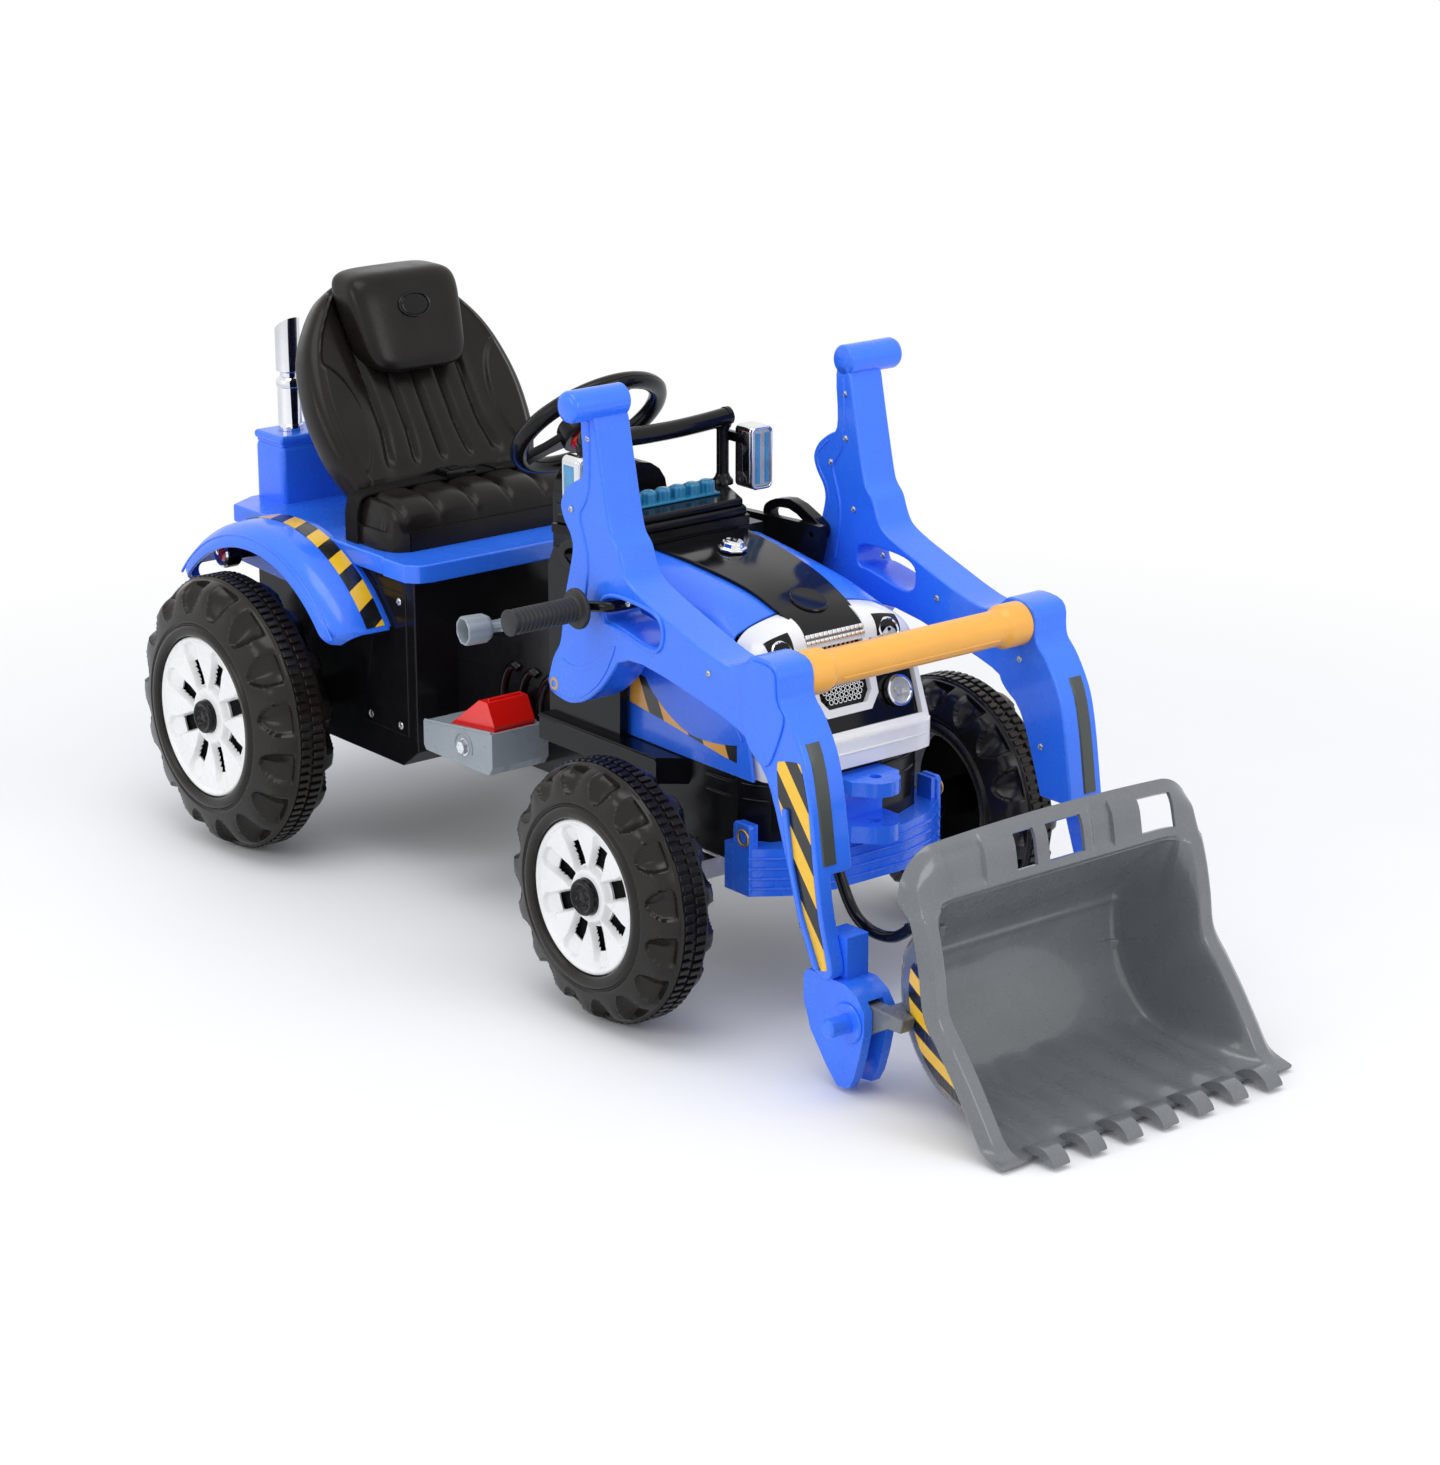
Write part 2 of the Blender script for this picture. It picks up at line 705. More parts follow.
def make_chassis():
    tub = piece("chassis_tub", slab("z", tub_outline(0.0), CHASSIS_FLOOR_Z, CHASSIS_RIM_Z), BLACK, 0.22)
    sill = [(-0.090, -SILL_HALF), (0.100, -SILL_HALF), (0.122, -CHASSIS_HALF + 0.002),
            (0.122, CHASSIS_HALF - 0.002), (0.100, SILL_HALF), (-0.090, SILL_HALF)]
    join(tub, slab("z", sill, SILL_LOW_Z, CHASSIS_RIM_Z - 0.0005))
    post = [(-0.085, CHASSIS_RIM_Z - 0.003), (0.030, CHASSIS_RIM_Z - 0.003), (0.032, 0.330), (0.050, 0.390),
            (0.050, 0.411), (-0.075, 0.405), (-0.085, 0.385)]
    posts = [slab("y", post, *across(side, POST_IN, POST_OUT)) for _, side in SIDES]
    join(tub, merge(*posts))
    cut(tub, slab("z", tub_outline(WALL), CHASSIS_FLOOR_Z + WALL, CHASSIS_RIM_Z + 0.010))
    seat = box((BEARING_X - 0.020, BEARING_X + 0.020), (-0.012, 0.012),
               (CHASSIS_FLOOR_Z + WALL / 2, CHASSIS_FLOOR_Z + 0.040))
    join(tub, seat)
    bores = [column_bore()]
    for _, side in SIDES:
        for x, z, r in ((LIFT_X, LIFT_Z, LIFT_BOLT_R), (HOOK_X, HOOK_Z, HOOK_PIN_R)):
            bores.append(rod((x, side * (POST_IN - 0.003), z), (x, side * (POST_OUT + 0.003), z),
                             r + PIN_PLAY))
    cut(tub, merge(*bores))


def make_mid_body():
    """The raised tunnel with the dash base and the round column cover."""
    rear = BODY_FRONT_X + GAP
    low = CHASSIS_RIM_Z + GAP
    front = MID_FRONT_X
    top = MID_TOP_Z - GAP
    outline = [(rear, low), (front, low), (front, top), (-0.104, top), (-0.108, CONSOLE_LOW_Z),
               (-0.180, CONSOLE_LOW_Z), (-0.215, 0.272), (rear, 0.268)]
    body = piece("mid_body", slab("y", outline, -TUNNEL_HALF, TUNNEL_HALF), BLACK, 0.25)
    bend = 0.034
    cover = [(-CONSOLE_HALF, CONSOLE_LOW_Z - 0.002), (CONSOLE_HALF, CONSOLE_LOW_Z - 0.002)]
    cover += arc((CONSOLE_HALF - bend, CONSOLE_TOP_Z - bend), bend, 0, 90, 4)
    cover += arc((-CONSOLE_HALF + bend, CONSOLE_TOP_Z - bend), bend, 90, 180, 4)
    join(body, slab("x", cover, CONSOLE_REAR_X, CONSOLE_FRONT_X))
    hollow = [(rear + WALL, low - 0.010), (front - WALL, low - 0.010), (front - WALL, top - WALL),
              (-0.104 + WALL, top - WALL), (-0.108 + WALL, CONSOLE_LOW_Z - WALL),
              (-0.180, CONSOLE_LOW_Z - WALL),
              (-0.215, 0.272 - WALL), (rear + WALL, 0.268 - WALL)]
    cut(body, slab("y", hollow, -TUNNEL_HALF + WALL, TUNNEL_HALF - WALL))
    cut(body, column_bore())
    ears = []
    pins = []
    for low_z, top_z in ((GEAR_Z - 0.012, GEAR_Z - 0.008), (GEAR_Z + 0.008, GEAR_Z + 0.012)):
        ears.append(box((GEAR_X - 0.007, GEAR_X + 0.007), (-GEAR_Y - 0.007, -TUNNEL_HALF + 0.002),
                        (low_z, top_z)))
        pins.append(rod((GEAR_X, -GEAR_Y, low_z - 0.002), (GEAR_X, -GEAR_Y, top_z + 0.002),
                        GEAR_PIN_R + PIN_PLAY, 12))
    join(body, merge(*ears))
    cut(body, merge(*pins))


def make_dash():
    outline = [(-0.102, -0.104), (-0.070, -0.097), (-0.006, -0.068), (-0.006, 0.068), (-0.070, 0.097),
               (-0.102, 0.104)]
    block = piece("dash_block", slab("z", outline, MID_TOP_Z, MID_TOP_Z + DASH_HEIGHT), BLACK, 0.30)
    cut(block, column_bore())
    top = MID_TOP_Z + DASH_HEIGHT + GAP
    reach = DASH_KNOB_PITCH * (DASH_KNOBS - 1) / 2
    strip = box((KNOB_ROW_X - 0.010, KNOB_ROW_X + 0.010), (-reach - 0.010, reach + 0.010), (top, top + 0.003))
    knobs = []
    for i in range(DASH_KNOBS):
        y = DASH_KNOB_PITCH * i - reach
        knobs.append(rod((KNOB_ROW_X, y, top + 0.001), (KNOB_ROW_X, y, top + 0.015), DASH_KNOB_R, 12,
                         DASH_KNOB_R * 0.8))
    join(piece("dash_knobs", strip, BLUE, 0.35), merge(*knobs))


def make_hoop():
    low = MID_TOP_Z + DASH_HEIGHT + GAP
    bar = [(HOOP_X + 0.005, -HOOP_HALF - 0.0083, HOOP_TOP_Z), (HOOP_X + 0.005, -0.045, HOOP_TOP_Z - 0.005),
           (HOOP_X + 0.005, 0.045, HOOP_TOP_Z - 0.005), (HOOP_X + 0.005, HOOP_HALF + 0.0083, HOOP_TOP_Z)]
    hoop = piece("roll_hoop", tube(bar, HOOP_BAR_R, 3), BLACK, 0.25)
    legs = []
    for _, side in SIDES:
        legs.append(rod((HOOP_X + 0.002, side * HOOP_HALF, low), (HOOP_X + 0.002, side * HOOP_HALF,
                                                                  HOOP_TOP_Z - 0.002),
                        HOOP_LEG_R))
    join(hoop, merge(*legs))
    inner = HOOP_HALF + HOOP_LEG_R + GAP
    for label, side in SIDES:
        near, far = across(side, LAMP_Y - 0.0135, LAMP_Y + 0.0135)
        shell = rounded((near, LAMP_Z - 0.0325), (far, LAMP_Z + 0.0325), 0.006)
        lamp = piece("hoop_lamp_" + label, slab("x", shell, LAMP_X - 0.014, LAMP_X + 0.014), CHROME, 0.12,
                     1.0)
        join(lamp, box((HOOP_X - 0.004, LAMP_X + 0.006), across(side, inner, LAMP_Y - 0.008),
                       (LAMP_Z + 0.014, LAMP_Z + 0.024)))


# Steering wheel and column

def make_steering():
    centre = (WHEEL_X, 0, WHEEL_Z)
    place = Matrix.Translation(centre) @ Matrix.Rotation(-WHEEL_TILT, 4, "Y")
    grip = [(WHEEL_R + WHEEL_GRIP_R * math.cos(math.tau * i / 8), WHEEL_GRIP_R * math.sin(math.tau * i / 8))
            for i in range(8)]
    wheel = piece("steering_wheel", turned(grip, 32, place), BLACK, 0.40, origin=centre)
    collar = [(WHEEL_HUB_R + GAP, -0.014), (WHEEL_COLLAR_R, -0.014), (WHEEL_COLLAR_R, 0.006),
              (WHEEL_HUB_R + GAP, 0.006)]
    join(wheel, turned(collar, 24, place))
    spokes = []
    for degrees in SPOKE_DEGREES:
        spoke = box((WHEEL_COLLAR_R - 0.004, WHEEL_R), (-0.010, 0.010), (-0.008, 0.000))
        bmesh.ops.transform(spoke, matrix=place @ Matrix.Rotation(math.radians(degrees), 4, "Z"),
                            verts=spoke.verts)
        spokes.append(spoke)
    join(wheel, merge(*spokes))
    pocket = HORN_R + GAP
    hub = [(0.0, WHEEL_HUB_LOW), (WHEEL_HUB_R - 0.008, WHEEL_HUB_LOW), (WHEEL_HUB_R, WHEEL_HUB_LOW + 0.008),
           (WHEEL_HUB_R, WHEEL_HUB_TOP - 0.004), (WHEEL_HUB_R - 0.004, WHEEL_HUB_TOP),
           (pocket, WHEEL_HUB_TOP),
           (pocket, HORN_POCKET), (0.0, HORN_POCKET)]
    piece("wheel_hub", turned(hub, 24, place), RED, 0.35, origin=centre)
    rest = HORN_POCKET + HORN_TRAVEL + GAP
    horn = rod((0, 0, rest), (0, 0, rest + 0.007), HORN_R, 20)
    bmesh.ops.transform(horn, matrix=place, verts=horn.verts)
    piece("horn_button", horn, BLACK, 0.30, origin=centre)
    column = rod(column_point(GAP - WHEEL_HUB_LOW), column_point(COLUMN_LENGTH), COLUMN_R)
    piece("steering_column", column, STEEL, 0.35, 0.9, origin=centre)


# Rear body, deck, fenders and what they hold

def make_rear_body():
    top = DECK_TOP_Z - DECK_THICK - GAP
    floor = BODY_FLOOR_Z
    outline = [(BODY_REAR_X, floor + 0.030), (BODY_REAR_X + 0.040, floor), (BODY_FRONT_X - 0.030, floor),
               (BODY_FRONT_X, floor + 0.022), (BODY_FRONT_X, top), (BODY_REAR_X, top)]
    hollow = [(BODY_REAR_X + WALL, floor + 0.034), (BODY_REAR_X + 0.043, floor + WALL),
              (BODY_FRONT_X - 0.033, floor + WALL), (BODY_FRONT_X - WALL, floor + 0.026),
              (BODY_FRONT_X - WALL, top + 0.010), (BODY_REAR_X + WALL, top + 0.010)]
    body = piece("rear_body", slab("y", outline, -BODY_HALF, BODY_HALF), BLACK, 0.28)
    cut(body, slab("y", hollow, -BODY_HALF + WALL, BODY_HALF - WALL))
    boss_end = REAR_TYRE_OUT - REAR_TYRE_WIDTH + HUB_END - GAP
    for _, side in SIDES:
        join(body, rod((REAR_AXLE_X, side * (BODY_HALF - 0.001), REAR_TYRE_R),
                       (REAR_AXLE_X, side * boss_end, REAR_TYRE_R), AXLE_BOSS_R))
    cut(body, rear_axle_bore())
    tip = REAR_TYRE_OUT - CAP_INSET - CAP_THICK - GAP - 0.001
    piece("rear_axle", rod((REAR_AXLE_X, -tip, REAR_TYRE_R), (REAR_AXLE_X, tip, REAR_TYRE_R), AXLE_R), STEEL,
          0.35,
          0.9, origin=(REAR_AXLE_X, 0, REAR_TYRE_R))
    low = floor + WALL + GAP
    shoulder = low + GEARBOX_RISE - 0.024
    case = [(-GEARBOX_REAR, low), (GEARBOX_FRONT, low), (GEARBOX_FRONT, shoulder),
            (GEARBOX_FRONT - 0.028, low + GEARBOX_RISE), (0.014 - GEARBOX_REAR, low + GEARBOX_RISE - 0.006),
            (-GEARBOX_REAR, shoulder)]
    gears = slab("y", [(REAR_AXLE_X + x, z) for x, z in case], -GEARBOX_HALF, GEARBOX_HALF)
    cut(piece("motor_gearbox", gears, BLACK, 0.45), rear_axle_bore())
    start = REAR_AXLE_X + GEARBOX_FRONT + BATTERY_CLEARANCE
    piece("battery", box((start, start + BATTERY_LENGTH), (-BATTERY_HALF, BATTERY_HALF),
                         (low, low + BATTERY_RISE)), BLACK, 0.5)


def rear_axle_bore():
    return rod((REAR_AXLE_X, -REAR_TYRE_OUT, REAR_TYRE_R), (REAR_AXLE_X, REAR_TYRE_OUT, REAR_TYRE_R),
               AXLE_R + PIN_PLAY)


def fender_rows(side):
    section = [(FENDER_IN, 0.0), (0.160, 0.0), (0.180, 0.0), (0.198, 0.004), (0.208, 0.012),
               (FENDER_OUT, 0.025)]
    rows = []
    for i in range(FENDER_STEPS + 1):
        turn = math.radians(FENDER_FRONT_DEG + (FENDER_REAR_DEG - FENDER_FRONT_DEG) * i / FENDER_STEPS)
        across_x, across_z = math.cos(turn), math.sin(turn)
        rows.append([(FENDER_X + (FENDER_R - drop) * across_x, side * y,
                      FENDER_Z + (FENDER_R - drop) * across_z)
                     for y, drop in section])
    return rows


def make_deck():
    low = DECK_TOP_Z - DECK_THICK
    outline = [(DECK_REAR_X, -0.110), (DECK_REAR_X + 0.020, -DECK_HALF + 0.001),
               (DECK_FRONT_X - 0.057, -DECK_HALF + 0.001), (DECK_FRONT_X - 0.034, -DECK_HALF),
               (DECK_FRONT_X - 0.010, -DECK_HALF + 0.006), (DECK_FRONT_X, -DECK_HALF + 0.018)]
    outline = outline + [(x, -y) for x, y in reversed(outline)]
    deck = piece("rear_deck", slab("z", outline, low, DECK_TOP_Z), BLUE, 0.30)
    for _, side in SIDES:
        join(deck, sheet(fender_rows(side), FENDER_SKIN, offset=-side))
        web = arc((FENDER_X, FENDER_Z), FENDER_R - 0.0015, FENDER_FRONT_DEG + 1.0, FENDER_REAR_DEG - 1.0,
                  FENDER_STEPS)
        join(deck, slab("y", web, *across(side, FENDER_IN - 0.0035, FENDER_IN + 0.0008)))
        lamp = [(0.0, FENDER_IN), (0.009, FENDER_IN), (0.009, 0.168), (TAIL_R, 0.171), (TAIL_R, 0.188),
                (0.0, 0.188)]
        join(deck, turned(lamp, 16, Matrix.Translation((TAIL_X, 0, TAIL_Z)) @ frame_of((0, side, 0))))
    join(deck, box((DECK_REAR_X + 0.004, REAR_BOX_FRONT_X), (-REAR_BOX_HALF, REAR_BOX_HALF),
                   (low + 0.004, REAR_BOX_TOP_Z)))


def make_exhaust():
    steps = [(0.0, 0.0), (CAN_R, 0.0), (CAN_R, 0.056), (EXHAUST_R - 0.002, 0.060), (EXHAUST_R - 0.002, 0.064),
             (EXHAUST_R, 0.066), (EXHAUST_R, 0.127), (EXHAUST_R - 0.002, 0.127), (EXHAUST_R - 0.002, 0.072),
             (0.0, 0.072)]
    place = Matrix.Translation((EXHAUST_X, EXHAUST_Y, REAR_BOX_TOP_Z + GAP))
    stack = piece("exhaust_stack", turned(steps, 16, place), CHROME, 0.15, 1.0)
    slope = box((-0.050, 0.050), (-0.050, 0.050), (0.0, 0.050))
    tilt = place @ Matrix.Translation((0, 0, 0.117)) @ Matrix.Rotation(math.radians(-35), 4, "Y")
    bmesh.ops.transform(slope, matrix=tilt, verts=slope.verts)
    cut(stack, slope)


# Loader arms, bar and pins

ARM_OUTLINE = ((0.043, 0.574), (0.050, 0.507), (0.034, 0.500), (0.018, 0.488), (0.011, 0.474), (0.016, 0.460),
               (0.028, 0.446), (0.031, 0.434), (0.026, 0.415), (0.018, 0.388), (0.013, 0.360), (0.009, 0.335),
               (-0.003, 0.320), (-0.010, 0.300), (-0.0125, 0.292), (-0.009, 0.283), (0.000, 0.2795),
               (0.022, 0.276), (0.048, 0.284), (0.080, 0.308), (0.112, 0.350), (0.287, 0.313), (0.294, 0.298),
               (0.322, 0.280), (0.352, 0.195), (0.385, 0.106), (0.418, 0.106), (0.400, 0.160), (0.392, 0.208),
               (0.383, 0.268), (0.374, 0.306), (0.353, 0.340), (0.338, 0.352), (0.338, 0.386), (0.300, 0.390),
               (0.288, 0.378), (0.262, 0.366), (0.151, 0.403), (0.126, 0.413), (0.115, 0.420), (0.108, 0.433),
               (0.103, 0.447), (0.092, 0.457), (0.088, 0.470), (0.081, 0.500), (0.072, 0.540), (0.065, 0.574))
SLOT_OUTLINE = ((0.081, 0.399), (0.081, 0.374), (0.098, 0.374), (0.150, 0.362), (0.166, 0.366),
                (0.168, 0.388),
                (0.150, 0.397))


def make_arm(label, side):
    arm = piece("loader_arm_" + label, slab("y", ARM_OUTLINE, *across(side, ARM_IN, ARM_OUT)), BLUE, 0.25,
                origin=(LIFT_X, side * ARM_IN, LIFT_Z))
    join(arm, rod((KNOB_X, side * ARM_IN, KNOB_Z), (KNOB_X, side * KNOB_OUT, KNOB_Z), KNOB_R, 20))
    cut(arm, slab("y", SLOT_OUTLINE, *across(side, ARM_IN - 0.01, ARM_OUT + 0.01)))
    cut(arm, box((0.300, 0.450), across(side, ARM_IN - 0.01, LEG_IN), (0.090, LEG_CUT_Z)))
    cut(arm, rod((LIFT_X, side * (ARM_IN - 0.01), LIFT_Z), (LIFT_X, side * (ARM_OUT + 0.01), LIFT_Z),
                 BUSH_R + PIN_PLAY))
    soften(arm, 0.0025, angle=50.0)


def make_loader_hardware():
    reach = ARM_IN - GAP
    profile = [(BAR_BORE, -reach), (BAR_COLLAR_R, -reach), (BAR_COLLAR_R, -reach + BAR_COLLAR),
               (BAR_R, -reach + BAR_COLLAR + 0.006), (BAR_R, reach - BAR_COLLAR - 0.006),
               (BAR_COLLAR_R, reach - BAR_COLLAR), (BAR_COLLAR_R, reach), (BAR_BORE, reach)]
    place = Matrix.Translation((BAR_X, 0, BAR_Z)) @ frame_of((0, 1, 0))
    piece("cross_bar", turned(profile, 24, place), YELLOW, 0.35)
    head = POST_IN - GAP
    shoulder = POST_OUT + GAP
    end = ARM_OUT + 0.0015
    steps = [(0.0, head - 0.0035), (0.008, head - 0.0035), (0.008, head), (LIFT_BOLT_R, head),
             (LIFT_BOLT_R, shoulder), (BUSH_R, shoulder), (BUSH_R, end), (0.0035, end), (0.0035, end - 0.010),
             (0.0, end - 0.010)]
    for label, side in SIDES:
        place = Matrix.Translation((LIFT_X, 0, LIFT_Z)) @ frame_of((0, side, 0))
        piece("lift_bolt_" + label, turned(steps, 16, place), BRASS, 0.3, 1.0)


# Bucket and its brackets

BRACKET_OUTLINE = ((0.366, 0.100), (0.372, 0.1057), (0.424, 0.1057), (0.440, 0.098), (0.450, 0.085),
                   (0.450, 0.066),
                   (0.444, 0.040), (0.437, 0.018), (0.430, 0.006), (0.414, 0.004), (0.398, 0.020),
                   (0.376, 0.048),
                   (0.366, 0.075))


def make_bracket(label, side):
    """A cheek on each side of the bucket's lug, with the pin and its threaded end."""
    item = piece("bucket_bracket_" + label, slab("y", BRACKET_OUTLINE, *across(side, BRACKET_IN,
                                                                               BRACKET_OUT)), BLUE,
                 0.25)
    join(item, box((0.386, 0.416), across(side, ARM_IN, LEG_IN - GAP), (0.104, 0.146)))
    cut(item, box((TILT_X - LUG_R - 0.003, 0.460), across(side, LUG_IN - 0.0005, LUG_OUT + 0.0005),
                  (0.0, TILT_Z + LUG_R + 0.003)))
    pin = [(0.0, BRACKET_IN + 0.002), (TILT_PIN_R, BRACKET_IN + 0.002), (TILT_PIN_R, BRACKET_OUT - 0.003),
           (STUB_R, BRACKET_OUT - 0.003), (STUB_R, STUB_OUT - 0.002), (STUB_R - 0.002, STUB_OUT),
           (0.0, STUB_OUT)]
    join(item, turned(pin, 16, Matrix.Translation((TILT_X, 0, TILT_Z)) @ frame_of((0, side, 0))))


BUCKET_FRONT = ((0.646, 0.0060), (0.626, 0.014), (0.608, 0.038), (0.590, 0.063), (0.570, 0.088),
                (0.550, 0.113),
                (0.543, 0.149), (0.537, 0.175), (0.530, 0.196), (0.525, 0.206), (0.512, 0.260))
BUCKET_BACK = ((0.640, 0.007), (0.585, 0.010), (0.520, 0.018), (0.484, 0.042), (0.463, 0.078), (0.458, 0.115),
               (0.467, 0.143), (0.490, 0.170), (0.515, 0.198), (0.5215, 0.208), (0.512, 0.260))
TOOTH_OUTLINE = ((0.628, 0.005), (0.640, 0.016), (0.655, 0.018), (0.667, 0.010), (0.672, 0.002),
                 (0.664, 0.003),
                 (0.655, 0.010), (0.643, 0.008), (0.636, 0.0015))
WINDOWS = ((-0.053, -0.028), (-0.013, 0.031), (0.104, 0.1465))


def make_bucket():
    columns = ((-BUCKET_HALF, 0.0), (-0.164, 0.0), (-0.158, 0.12), (-0.148, 0.62), (-0.140, 0.90),
               (-0.128, 1.0),
               (0.128, 1.0), (0.140, 0.90), (0.148, 0.62), (0.158, 0.12), (0.164, 0.0), (BUCKET_HALF, 0.0))
    rows = []
    for front, back in zip(BUCKET_FRONT, BUCKET_BACK):
        rows.append([(front[0] + (back[0] - front[0]) * depth, y, front[1] + (back[1] - front[1]) * depth)
                     for y, depth in columns])
    bucket = piece("bucket", sheet(rows, BUCKET_WALL, offset=-1.0), GREY, 0.25,
                   origin=(TILT_X, 0, TILT_Z))
    openings = [box((0.490, 0.540), pair, (WINDOW_LOW_Z, WINDOW_TOP_Z)) for pair in WINDOWS]
    cut(bucket, merge(*openings))
    teeth = []
    for i in range(TEETH):
        y = TOOTH_SPAN * (i / (TEETH - 1) - 0.5)
        teeth.append(slab("y", TOOTH_OUTLINE, y - TOOTH_WIDTH / 2, y + TOOTH_WIDTH / 2))
    join(bucket, merge(*teeth))
    lugs = []
    bores = []
    for _, side in SIDES:
        ring = rod((TILT_X, side * LUG_IN, TILT_Z), (TILT_X, side * LUG_OUT, TILT_Z), LUG_R, 20)
        inner = LUG_IN + 0.0004
        outer = LUG_OUT - 0.0004
        plan = [(TILT_X + 0.002, inner), (0.4535, inner), (0.4535, 0.110), (0.4610, 0.110), (0.4610, 0.128),
                (0.4710, 0.140), (0.480, inner + 0.001), (0.492, inner + 0.003), (0.492, outer),
                (TILT_X + 0.002, outer)]
        lugs.append(ring)
        lugs.append(slab("z", [(x, side * y) for x, y in plan], 0.074, TILT_Z + LUG_R - 0.001))
        bores.append(rod((TILT_X, side * (LUG_IN - 0.003), TILT_Z), (TILT_X, side * (LUG_OUT + 0.003),
                                                                     TILT_Z),
                         TILT_PIN_R + PIN_PLAY))
    for lug in lugs:
        join(bucket, lug)
    eye = [(0.480, 0.142)] + arc((ROD_LUG_X, ROD_LUG_Z), 0.011, 250, 90, 8) + [(0.488, 0.166)]
    join(bucket, slab("y", eye, -ROD_LUG_OUT, -ROD_LUG_IN))
    bores.append(rod((ROD_LUG_X, -ROD_LUG_OUT - 0.003, ROD_LUG_Z), (ROD_LUG_X, -ROD_LUG_IN + 0.003,
                                                                    ROD_LUG_Z),
                     ROD_R + PIN_PLAY))
    cut(bucket, merge(*bores))


def make_tilt_rod():
    path = [(GRIP_X + 0.001, -0.262, GRIP_Z), (GRIP_X + 0.001, -0.1930, GRIP_Z), (0.067, -0.1875, 0.385),
            (0.084, -0.1862, 0.388),
            (0.092, -0.180, 0.389), (0.092, -0.135, 0.389), (0.097, -0.124, 0.386), (0.200, -ROD_Y, 0.335),
            (0.290, -ROD_Y, 0.280), (0.335, -ROD_Y, 0.225), (0.355, -ROD_Y, 0.185), (0.375, -ROD_Y, 0.150),
            (0.400, -ROD_Y, 0.138), (0.430, -ROD_Y, 0.140), (ROD_LUG_X, -ROD_Y, ROD_LUG_Z)]
    handle = piece("tilt_rod", tube(path, ROD_R, 2), BLACK, 0.3, origin=(ROD_LUG_X, -ROD_Y, ROD_LUG_Z))
    join(handle, rod((ROD_LUG_X, -ROD_Y - ROD_R, ROD_LUG_Z), (ROD_LUG_X, -ROD_LUG_IN + 0.002, ROD_LUG_Z),
                     ROD_R, 12))
    bore = ROD_R + GAP
    start, end = GRIP_IN + 0.0005, GRIP_OUT
    profile = [(bore, start), (GRIP_FLANGE_R, start), (GRIP_FLANGE_R, start + 0.005), (GRIP_R, start + 0.008),
               (GRIP_R, end - 0.004), (GRIP_R - 0.003, end), (0.0, end), (0.0, 0.263), (bore, 0.263)]
    place = Matrix.Translation((GRIP_X + 0.001, 0, GRIP_Z)) @ frame_of((0, -1, 0))
    piece("tilt_grip", turned(profile, 20, place), BLACK, 0.5)


HOOK_OUTLINE = ((-0.052, 0.412), (-0.050, 0.400), (-0.036, 0.389), (-0.024, 0.394), (-0.034, 0.400),
                (-0.032, 0.406), (-0.022, 0.408), (-0.002, 0.405), (0.030, 0.390), (0.040, 0.394),
                (0.042, 0.405),
                (0.036, 0.412), (-0.003, 0.428), (-0.028, 0.425), (-0.045, 0.418))


def make_hook(label, side):
    item = piece("hook_" + label, slab("y", HOOK_OUTLINE, *across(side, POST_OUT + GAP, ARM_IN - 0.0005)),
                 BLACK, 0.3,
                 origin=(HOOK_X, side * POST_OUT, HOOK_Z))
    join(item, rod((HOOK_X, side * (POST_IN + 0.0005), HOOK_Z), (HOOK_X, side * (POST_OUT + 0.002), HOOK_Z),
                   HOOK_PIN_R, 12))


# Hood, fascia and front skirt

HOOD_ROWS = (
    ((0.000, 0.000, 0.4065), (0.000, 0.060, 0.4055), (0.000, 0.083, 0.398), (0.000, 0.098, 0.378),
     (0.000, 0.107, 0.320), (0.000, 0.110, 0.2323)),
    ((0.060, 0.000, 0.4015), (0.060, 0.054, 0.400), (0.060, 0.082, 0.391), (0.060, 0.100, 0.370),
     (0.060, 0.110, 0.318), (0.060, 0.1105, 0.2323)),
    ((0.125, 0.000, 0.3905), (0.125, 0.047, 0.389), (0.125, 0.080, 0.381), (0.125, 0.100, 0.362),
     (0.125, 0.111, 0.315), (0.125, 0.112, 0.2323)),
    ((0.168, 0.000, 0.3765), (0.168, 0.043, 0.375), (0.168, 0.078, 0.367), (0.172, 0.098, 0.355),
     (0.200, 0.110, 0.312), (0.220, 0.112, 0.2323)),
)
STRIPE_ROWS = (
    ((0.000, 0.000, 0.4065), (0.000, 0.058, 0.4055)),
    ((0.060, 0.000, 0.4015), (0.060, 0.053, 0.400)),
    ((0.125, 0.000, 0.3905), (0.125, 0.046, 0.389)),
    ((0.168, 0.000, 0.3765), (0.168, 0.042, 0.375)),
    ((0.190, 0.000, 0.3655), (0.190, 0.039, 0.3645)),
    ((0.2035, 0.000, 0.3555), (0.2035, 0.037, 0.3545)),
)


def mirrored(row):
    """A half section from the top centre down, made whole."""
    return [(x, -y, z) for x, y, z in reversed(row[1:])] + list(row)


def nose_frame():
    """On the slanted front face: +Z up along it, +X out of it."""
    return Matrix.Translation((NOSE_X, 0, NOSE_Z)) @ Matrix.Rotation(-NOSE_LEAN, 4, "Y")


def on_nose(shape):
    bmesh.ops.transform(shape, matrix=nose_frame(), verts=shape.verts)
    return shape


def nose_window(inset):
    half, low, brow, grille, top = 0.090, 0.005, 0.054, 0.045, 0.088
    side = [(half - inset, low + inset), (half - inset, brow - inset), (grille - inset, brow - inset),
            (grille - inset, top - inset)]
    return side + [(-y, z) for y, z in reversed(side)]


def lamp_window(side, inset):
    y0, y1 = across(side, 0.052 + inset, 0.082 - inset)
    return [(y0, 0.062 + inset), (y1, 0.062 + inset), (y1, 0.084 - inset), (y0, 0.084 - inset)]


